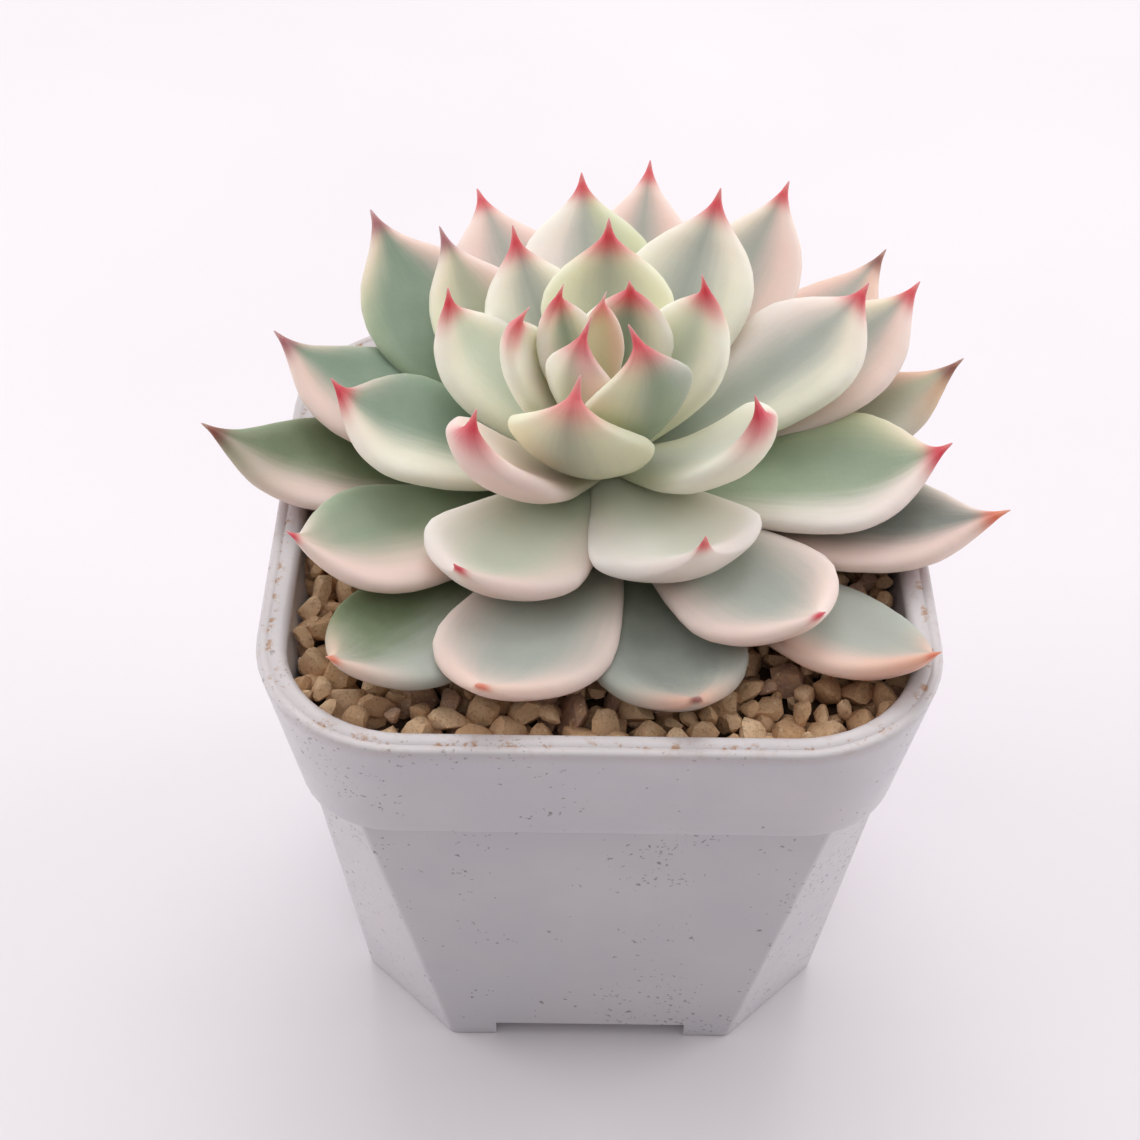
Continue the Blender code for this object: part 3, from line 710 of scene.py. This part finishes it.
def stripe_level(leaf, along, across, above, hooked):
    """How far inside the stripe each point is, in half widths: below zero it lies in the margin.

    The stripe narrows towards the tip, and it is narrower on the leaf's underside.
    """
    reach = leaf.stripe_width * (1.55 - 0.70 * along - 0.45 * ease(along, 0.66, 0.97))
    centre = leaf.stripe_place * (1 - ease(along, 0.6, 1.0))
    level = reach - np.abs(across - centre)
    if hooked:
        level = np.minimum(level, (0.89 - along) * 3.6) * 0.8
    hidden = 0.5 if leaf.step < OPEN_SHARE * LAST_STEP else 0.1
    return level - np.where(above < 0, hidden * ease(-above, 0.0, 0.5), 0.0)


def paint_leaf(mesh, leaf, number, marks, length):
    """Writes the leaf's pigments on its points: pale margins, a deep stripe and a coloured point."""
    along, across, above = marks.T
    rows = np.ones((len(along), 1))
    names = leaf.pigments.split() + ["leek", "shaded_moss"]
    stripe, low, high, outer, point, leek, shaded_moss = [linear(PIGMENTS[name]) * rows for name in names]
    hooked = leaf.hook >= HOOKED and leaf.step <= LAST_HOOKED_STEP
    young = leaf.step / LAST_STEP

    # The outer end's pigment shows most at the rims of old leaves, and their bases are the greenest; the
    # stripe also darkens towards the base, partly its own green and partly painted shade
    margin = blend(ease(across - leaf.stripe_place, *BOTH_SIDES), low, high)
    end = ease(along, *(HOOKED_OUTER_END if hooked else OUTER_END))
    at_rim = 0.35 + 0.65 * ease(np.abs(across), 0.0, 0.9)
    margin = blend(end * at_rim * (0.85 - 0.35 * young), margin, outer)
    margin = blend(ease(along, *GREEN_BASE) * GREENEST_MARGIN, margin, leek)
    deep = blend(ease(along, *SHADED_MOSS_BASE) * (0.58 - 0.40 * young), stripe, shaded_moss)

    # Blush colours the point itself, and flush is the fainter glow around it
    point_length = HOOKED_POINT if hooked else OLD_POINT + YOUNG_POINT_MORE * ease(young, 0.4, 0.8)
    from_tip = (1 - along) * length
    blush = (1.25 * point_length - from_tip) / (0.95 * point_length)
    flush = 0.45 * ease(from_tip, 1.6 * point_length, 0.8 * point_length)
    add_colour(mesh, "pale", blend(flush, margin, point))
    add_colour(mesh, "deep", blend(flush, deep, point))
    add_colour(mesh, "point", point)
    add_number(mesh, "stripe", stripe_level(leaf, along, across, above, hooked))
    add_number(mesh, "blush", blush)
    streaks = (across * leaf.width * ACROSS_STREAKS, along * length * ALONG_STREAKS)
    add_vector(mesh, "grain", np.stack([*streaks, above * 0.6 + number * 7.3], axis=1))


def ripple(points, marks, number):
    """Raises and lowers a leaf's points a little, least at its two ends."""
    for index, point in enumerate(points):
        wave = noise.noise(Vector(point) * RIPPLE_FINENESS + Vector((number, 0.0, 0.0)))
        points[index, 2] += RIPPLE_HEIGHT * wave * sin(pi * min(1.0, marks[index, 0] * RIPPLE_REACH))


def build_leaves(material):
    for number, leaf in enumerate(LEAVES, 1):
        node = "leaf_%02d" % number
        points, marks, length = leaf_skin(leaf)
        ripple(points, marks, number)
        mesh = bpy.data.meshes.new(node + "_flesh")
        rings = (len(points) - 1) // LEAF_SIDES
        mesh.from_pydata(points.tolist(), [], tube_faces(rings, LEAF_SIDES))
        paint_leaf(mesh, leaf, number, marks, length)
        finish_piece(node + "_flesh", mesh, material, [node])


# ---------------------------------------------------------------- gravel

STONE_SEED = 11
STONE_SIZES = ((2.5, 40), (2.1, 150), (1.75, 320), (1.4, 420), (1.1, 420))
TRIES_EACH = 6
STONE_FINENESS = 2
HIGHEST_STONE = GRAVEL_TOP + 1.7
BED_DROP = 3.0
ODD_CHANCE = 0.12
ODD_TONE = 0.75
STONE_EDGE = 34
BED_EDGE = 35

# For each layer of stones: their spacing, their middle height and how much it varies
UPPER_LAYER = (0.80, GRAVEL_TOP + 0.9, 0.7)
LOWER_LAYER = (0.78, GRAVEL_TOP - 1.6, 0.6)

# A stone has 7 to 10 facets, as the second number is never drawn.  Their places are the nearest
# and the farthest that one lies from its middle.
FACETS = (7, 11)
FACET_PLACES = (0.42, 0.78)
FACET_FLATNESS = 0.97

# The least and the most that a stone is stretched each way, and how much it is swelled after that
STONE_STRETCH = ((0.95, 0.72, 0.6), (1.25, 1.0, 0.85))
STONE_SWELL = 1.3


def inside_bed(x, y, room):
    """Whether a point lies in the pot's hollow at the gravel's height, by at least room."""
    share = (GRAVEL_TOP - COLLAR_LOW) / COLLAR_HEIGHT
    half = COLLAR_HALF + (RIM_HALF - COLLAR_HALF) * share - LIP_WIDTH - GAP - room
    corner = COLLAR_FOOT_CORNER + (RIM_CORNER - COLLAR_FOOT_CORNER) * share - LIP_WIDTH - room
    over_x = max(0.0, abs(x) - (half - corner))
    over_y = max(0.0, abs(y) - (half - corner))
    return hypot(over_x, over_y) < corner and abs(x) < half and abs(y) < half


def scatter_stones(draw, sizes, spacing, height, spread):
    """Centres and radii of stones that fill the bed, big ones first.

    Each of sizes is a radius and its share of the tries.  Spacing is how near two stones may be,
    as a share of their radii together.
    """
    stones = []
    for size, tries in sizes:
        for _ in range(tries * TRIES_EACH):
            x, y = draw.uniform(-RIM_HALF, RIM_HALF, 2)
            radius = size * draw.uniform(0.82, 1.12)
            if not inside_bed(x, y, radius * 0.72):
                continue
            if hypot(x - STEM_X, y - STEM_Y) < STEM_LOW_RADIUS + radius:
                continue
            if any(hypot(x - s[0], y - s[1]) < spacing * (radius + s[3]) for s in stones):
                continue
            stones.append((x, y, height + spread * draw.uniform(-1.0, 1.0) - radius * 0.6, radius))
    return stones


def stone_shape(draw, ball, radius):
    """A ball worn into a lump with soft flat facets."""
    points = ball.copy()
    for _ in range(draw.integers(*FACETS)):
        facing = draw.normal(size=3)
        facing /= np.linalg.norm(facing)
        over = points @ facing - draw.uniform(*FACET_PLACES)
        points -= np.outer(np.clip(over, 0.0, None) * FACET_FLATNESS, facing)
    points *= draw.uniform(*STONE_STRETCH)
    facing = draw.normal(size=(3, 3))
    turn, _ = np.linalg.qr(facing)
    if np.linalg.det(turn) < 0:
        turn[0] = -turn[0]
    return points @ turn.T * radius * STONE_SWELL


def build_stones(name, stones, draw, material, stands_for=()):
    ball = bmesh.new()
    bmesh.ops.create_icosphere(ball, subdivisions=STONE_FINENESS, radius=1.0)
    points = np.array([vertex.co for vertex in ball.verts])
    faces = np.array([[vertex.index for vertex in face.verts] for face in ball.faces])
    ball.free()
    places, skins, tones, odds = [], [], [], []
    for number, (x, y, z, radius) in enumerate(stones):
        lump = stone_shape(draw, points, radius) + np.array((x, y, z))
        lump[:, 2] -= max(0.0, lump[:, 2].max() - HIGHEST_STONE)
        places.append(lump)
        skins.append(faces + number * len(points))
        tones.append(np.full(len(points), draw.beta(1.3, 1.3)))
        odds.append(np.full(len(points), ODD_TONE if draw.uniform() < ODD_CHANCE else 0.0))
    mesh = bpy.data.meshes.new(name)
    mesh.from_pydata(np.concatenate(places).tolist(), [], np.concatenate(skins).tolist())
    add_number(mesh, "tone", np.concatenate(tones))
    add_number(mesh, "odd", np.concatenate(odds))
    finish_piece(name, mesh, material, stands_for, sharp=STONE_EDGE)


def build_gravel(material, dark):
    """Two layers of loose stones over a dark bed that closes the gaps between them."""
    draw = np.random.default_rng(STONE_SEED)
    upper = scatter_stones(draw, STONE_SIZES, *UPPER_LAYER)
    lower = scatter_stones(draw, STONE_SIZES[1:4], *LOWER_LAYER)
    build_stones("gravel_grains", upper, draw, material, ["gravel_top_dressing"])
    build_stones("gravel_grains_below", lower, draw, material)
    rings = [hollow_ring(height, GAP) for height in (GRAVEL_LOW, GRAVEL_TOP - BED_DROP)]
    mesh = loft_mesh("gravel_bed", rings)
    finish_piece("gravel_bed", mesh, dark, sharp=BED_EDGE)


# ---------------------------------------------------------------- pot

CORNER_STEPS = 12
WALL_STEPS = 14
EDGE_ROUND = 1.3
EDGE_ROUND_SHARE = 0.4
POT_EDGE = 40

# Rings along the pot's wall.  For each: its height over the foot, its height over the collar's
# foot or its depth under the rim, and then how far it lies in from the wall there
FOOT_PROFILE = ((0.0, 0.35), (0.12, 0.12), (0.4, 0.0))
UNDER_COLLAR_PROFILE = ((-0.3, 0.0), (-0.05, -0.12))
COLLAR_FOOT_PROFILE = ((0.0, 0.7), (0.04, 0.28), (0.2, 0.06), (0.5, 0.0))
UNDER_LIP_PROFILE = ((1.1, 0.0), (0.75, 0.02))
LIP_PROFILE = (
    (0.42, 0.06), (0.18, 0.20), (0.05, 0.42), (0.0, 0.70), (0.0, 1.20), (0.10, 1.34), (0.12, 1.46),
    (0.02, 1.62), (0.0, 2.4), (0.04, 2.9), (0.16, 3.3), (0.42, 3.6), (0.8, 3.8), (1.4, 3.85),
    (2.2, 3.5),
)

# The lip has painted shade: it is a little darker than the wall, down to this depth and fading below it
LIP_SHADE_DEPTH = 0.8
LIP_SHADE_FADE = 0.8

# Soil gathers in a seam this far in from the lip's outer edge, and less on the rest of the lip
SEAM = (1.2, 1.75)
DIRTY_DEPTH = 0.5
THIN_DIRT = 0.15

# How scuffed the collar and the walls are, and how far a cut corner's wear runs past it
COLLAR_WEAR = 0.12
WALL_WEAR = 0.15
WORN_BESIDE_CORNER = 1.5

# The tools that cut the pot's foot and floor
CUT_BEYOND = 1.0
DRAIN_CUT = 8.0
DRAIN_SIDES = 40


def corner_path(half, corner, roundness):
    """One corner of a level outline, from the +X wall to the +Y wall.

    It goes from a chamfer with rounded edges (roundness 0) to one arc (roundness 1).
    """
    path = []
    edge = min(EDGE_ROUND, corner * EDGE_ROUND_SHARE)
    tangent = edge * tan(pi / 8)
    arm = CORNER_STEPS // 2
    chamfer = []
    for step in range(arm):
        angle = pi / 4 * step / (arm - 1)
        chamfer.append((half - edge + edge * cos(angle), half - corner - tangent + edge * sin(angle)))
    chamfer += [(y, x) for x, y in reversed(chamfer)]
    for step in range(CORNER_STEPS):
        angle = pi / 2 * step / (CORNER_STEPS - 1)
        arc = (half - corner + corner * cos(angle), half - corner + corner * sin(angle))
        flat = chamfer[step]
        path.append(tuple(a * roundness + f * (1 - roundness) for a, f in zip(arc, flat)))
    return path


def level_ring(half, corner, height, roundness):
    """A level outline of the pot, with points along its walls too."""
    ring = []
    path = corner_path(half, corner, roundness)
    wall_x, wall_end = path[0]
    steps = [2 * step / WALL_STEPS - 1 for step in range(1, WALL_STEPS)]
    wall = [(wall_x, wall_end * step) for step in steps]
    for quarter in range(4):
        turn = quarter * pi / 2
        for x, y in wall + path:
            ring.append((x * cos(turn) - y * sin(turn), x * sin(turn) + y * cos(turn), height))
    return ring


def loft_mesh(name, rings):
    """A closed skin through rings of equally many points, with a flat face at each end."""
    count = len(rings[0])
    points = [point for ring in rings for point in ring]
    faces = []
    for low in range(len(rings) - 1):
        for side in range(count):
            turn = (side + 1) % count
            corner = low * count
            faces.append((corner + side, corner + turn, corner + count + turn, corner + count + side))
    faces.append(tuple(reversed(range(count))))
    last = (len(rings) - 1) * count
    faces.append(tuple(range(last, last + count)))
    mesh = bpy.data.meshes.new(name)
    mesh.from_pydata(points, [], faces)
    return mesh


def body_at(height):
    """Half the body's width and the leg of its chamfer, at a height."""
    share = height / COLLAR_LOW
    half = FOOT_HALF + (BODY_HALF - FOOT_HALF) * share
    return half, FOOT_CHAMFER + (BODY_TOP_CHAMFER - FOOT_CHAMFER) * share


def collar_at(height):
    """Half the collar's width and the radius of its corners, at a height."""
    share = (height - COLLAR_LOW) / COLLAR_HEIGHT
    half = COLLAR_HALF + (RIM_HALF - COLLAR_HALF) * share
    return half, COLLAR_FOOT_CORNER + (RIM_CORNER - COLLAR_FOOT_CORNER) * share


def body_ring(height, inset=0.0):
    half, corner = body_at(height)
    return level_ring(half - inset, corner - inset * CHAMFER_INSET, height, 0.0)


def collar_ring(height, inset=0.0):
    half, corner = collar_at(height)
    return level_ring(half - inset, corner - inset, height, 1.0)


def hollow_ring(height, inset):
    if height < COLLAR_LOW:
        return body_ring(height, WALL + inset)
    return collar_ring(height, LIP_WIDTH + inset)


def pot_rings():
    """The pot's skin: up its outside, over the lip and down the inside to the floor."""
    rings = [body_ring(height, inset) for height, inset in FOOT_PROFILE]
    rings += [body_ring(height) for height in np.linspace(2.0, COLLAR_LOW - 1.0, 16)]
    rings += [body_ring(COLLAR_LOW + rise, inset) for rise, inset in UNDER_COLLAR_PROFILE]
    rings += [collar_ring(COLLAR_LOW + rise, inset) for rise, inset in COLLAR_FOOT_PROFILE]
    rings += [collar_ring(height) for height in np.linspace(COLLAR_LOW + 1.6, POT_HEIGHT - 2.2, 10)]
    rings += [collar_ring(POT_HEIGHT - depth, inset) for depth, inset in UNDER_LIP_PROFILE]
    for depth, inset in LIP_PROFILE:
        rings.append(level_ring(RIM_HALF - inset, RIM_CORNER - inset, POT_HEIGHT - depth, 1.0))
    upper = np.linspace(POT_HEIGHT - 3.6, COLLAR_LOW + 1.0, 6)
    lower = np.linspace(COLLAR_LOW - 1.0, FLOOR_HEIGHT + FLOOR_THICK, 5)
    rings += [collar_ring(height, LIP_WIDTH) for height in upper]
    rings += [body_ring(height, WALL) for height in lower]
    return rings


def cut(target, name, mesh):
    """Cuts a mesh's shape out of target, and gives back the cutter, to be removed at the end."""
    cutter = bpy.data.objects.new(name, mesh)
    SCENE.collection.objects.link(cutter)
    modifier = target.modifiers.new(name, "BOOLEAN")
    modifier.operation = "DIFFERENCE"
    modifier.solver = "EXACT"
    modifier.object = cutter
    return cutter


def box_mesh(name, size, centre):
    mesh = bpy.data.meshes.new(name)
    shape = bmesh.new()
    bmesh.ops.create_cube(shape, size=1.0)
    bmesh.ops.scale(shape, vec=Vector(size), verts=shape.verts)
    bmesh.ops.translate(shape, vec=Vector(centre), verts=shape.verts)
    shape.to_mesh(mesh)
    shape.free()
    return mesh


def drain_mesh(name, x, y, width):
    mesh = bpy.data.meshes.new(name)
    shape = bmesh.new()
    sizes = {"radius1": width / 2, "radius2": width / 2, "depth": DRAIN_CUT}
    bmesh.ops.create_cone(shape, cap_ends=True, segments=DRAIN_SIDES, **sizes)
    middle = Vector((x, y, FLOOR_HEIGHT + FLOOR_THICK / 2))
    bmesh.ops.translate(shape, vec=middle, verts=shape.verts)
    shape.to_mesh(mesh)
    shape.free()
    return mesh


def build_pot(material):
    """The pot's shell, hollow under its floor, with a notch in each wall's foot and its drains."""
    blank = bpy.data.objects.new("pot_shell_blank", loft_mesh("pot_shell_blank", pot_rings()))
    SCENE.collection.objects.link(blank)
    foot = body_ring(0.0, WALL)
    rings = [[(x, y, height) for x, y, _ in foot] for height in (-CUT_BEYOND, FLOOR_HEIGHT)]
    cutters = [cut(blank, "cut_recess", loft_mesh("cut_recess", rings))]
    tall = FLOOR_HEIGHT + CUT_BEYOND
    middle = (0.0, 0.0, FLOOR_HEIGHT - tall / 2)
    for name, size in (("x", (POT_WIDTH, NOTCH_WIDTH)), ("y", (NOTCH_WIDTH, POT_WIDTH))):
        slot = box_mesh("cut_notch_" + name, (*size, tall), middle)
        cutters.append(cut(blank, "cut_notch_" + name, slot))
    drains = [(0.0, 0.0, DRAIN_MIDDLE)]
    for turn in range(4):
        angle = pi / 4 + turn * pi / 2
        drains.append((DRAIN_SPREAD / 2 * cos(angle), DRAIN_SPREAD / 2 * sin(angle), DRAIN_SIDE))
    for number, drain in enumerate(drains):
        name = "cut_drain_%d" % number
        cutters.append(cut(blank, name, drain_mesh(name, *drain)))
    graph = bpy.context.evaluated_depsgraph_get()
    shell = bpy.data.meshes.new_from_object(blank.evaluated_get(graph))
    shell.name = "pot_shell"
    for thing in cutters + [blank]:
        bpy.data.objects.remove(thing)
    # Scuffs and soil are real marks; the lip's mask carries painted shade
    wear, dirt, painted_lip_shade = [], [], []
    for vertex in shell.vertices:
        x, y, z = vertex.co
        wear.append(pot_wear(x, y, z))
        dirt.append(pot_dirt(x, y, z))
        painted_lip_shade.append(ease(z, POT_HEIGHT - LIP_SHADE_DEPTH - LIP_SHADE_FADE, POT_HEIGHT - LIP_SHADE_DEPTH))
    add_number(shell, "wear", wear)
    add_number(shell, "dirt", dirt)
    add_number(shell, "painted_lip_shade", painted_lip_shade)
    finish_piece("pot_shell", shell, material, ["pot"], sharp=POT_EDGE)


def pot_wear(x, y, z):
    """How scuffed the pot is at a point: most on the cut corners under its collar."""
    if z > COLLAR_LOW:
        return COLLAR_WEAR
    half, corner = body_at(max(0.0, z))
    near_corner = min(abs(x), abs(y)) > half - corner - WORN_BESIDE_CORNER
    return 1.0 if near_corner else WALL_WEAR


def pot_dirt(x, y, z):
    """How much soil there is at a point: most in the seam that runs round the lip."""
    if z < POT_HEIGHT - DIRTY_DEPTH:
        return 0.0
    over_x = max(0.0, abs(x) - (RIM_HALF - RIM_CORNER))
    over_y = max(0.0, abs(y) - (RIM_HALF - RIM_CORNER))
    edge = RIM_CORNER - hypot(over_x, over_y)
    return 1.0 if SEAM[0] < edge < SEAM[1] else THIN_DIRT


# ---------------------------------------------------------------- all together


def build_floor():
    mesh = bpy.data.meshes.new("floor")
    shape = bmesh.new()
    bmesh.ops.create_grid(shape, x_segments=2, y_segments=2, size=FLOOR_HALF_WIDTH)
    shape.to_mesh(mesh)
    shape.free()
    mesh.materials.append(floor_material())
    floor = bpy.data.objects.new("floor", mesh)
    SCENE.collection.objects.link(floor)


def dress(node, material):
    """Puts a finished material on a CAD node that stays."""
    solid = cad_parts[node]
    solid.data.materials.clear()
    solid.data.materials.append(material)


def main():
    build_camera()
    build_world()
    for lamp in LAMPS:
        build_lamp(*lamp)
    build_floor()
    SCENE.view_settings.view_transform = "Standard"
    SCENE.view_settings.look = "None"
    soil = soil_material()
    build_leaves(leaf_material())
    build_gravel(gravel_material(), soil)
    build_pot(pot_material())
    dress("potting_soil", soil)
    dress("stem", stem_material())


main()
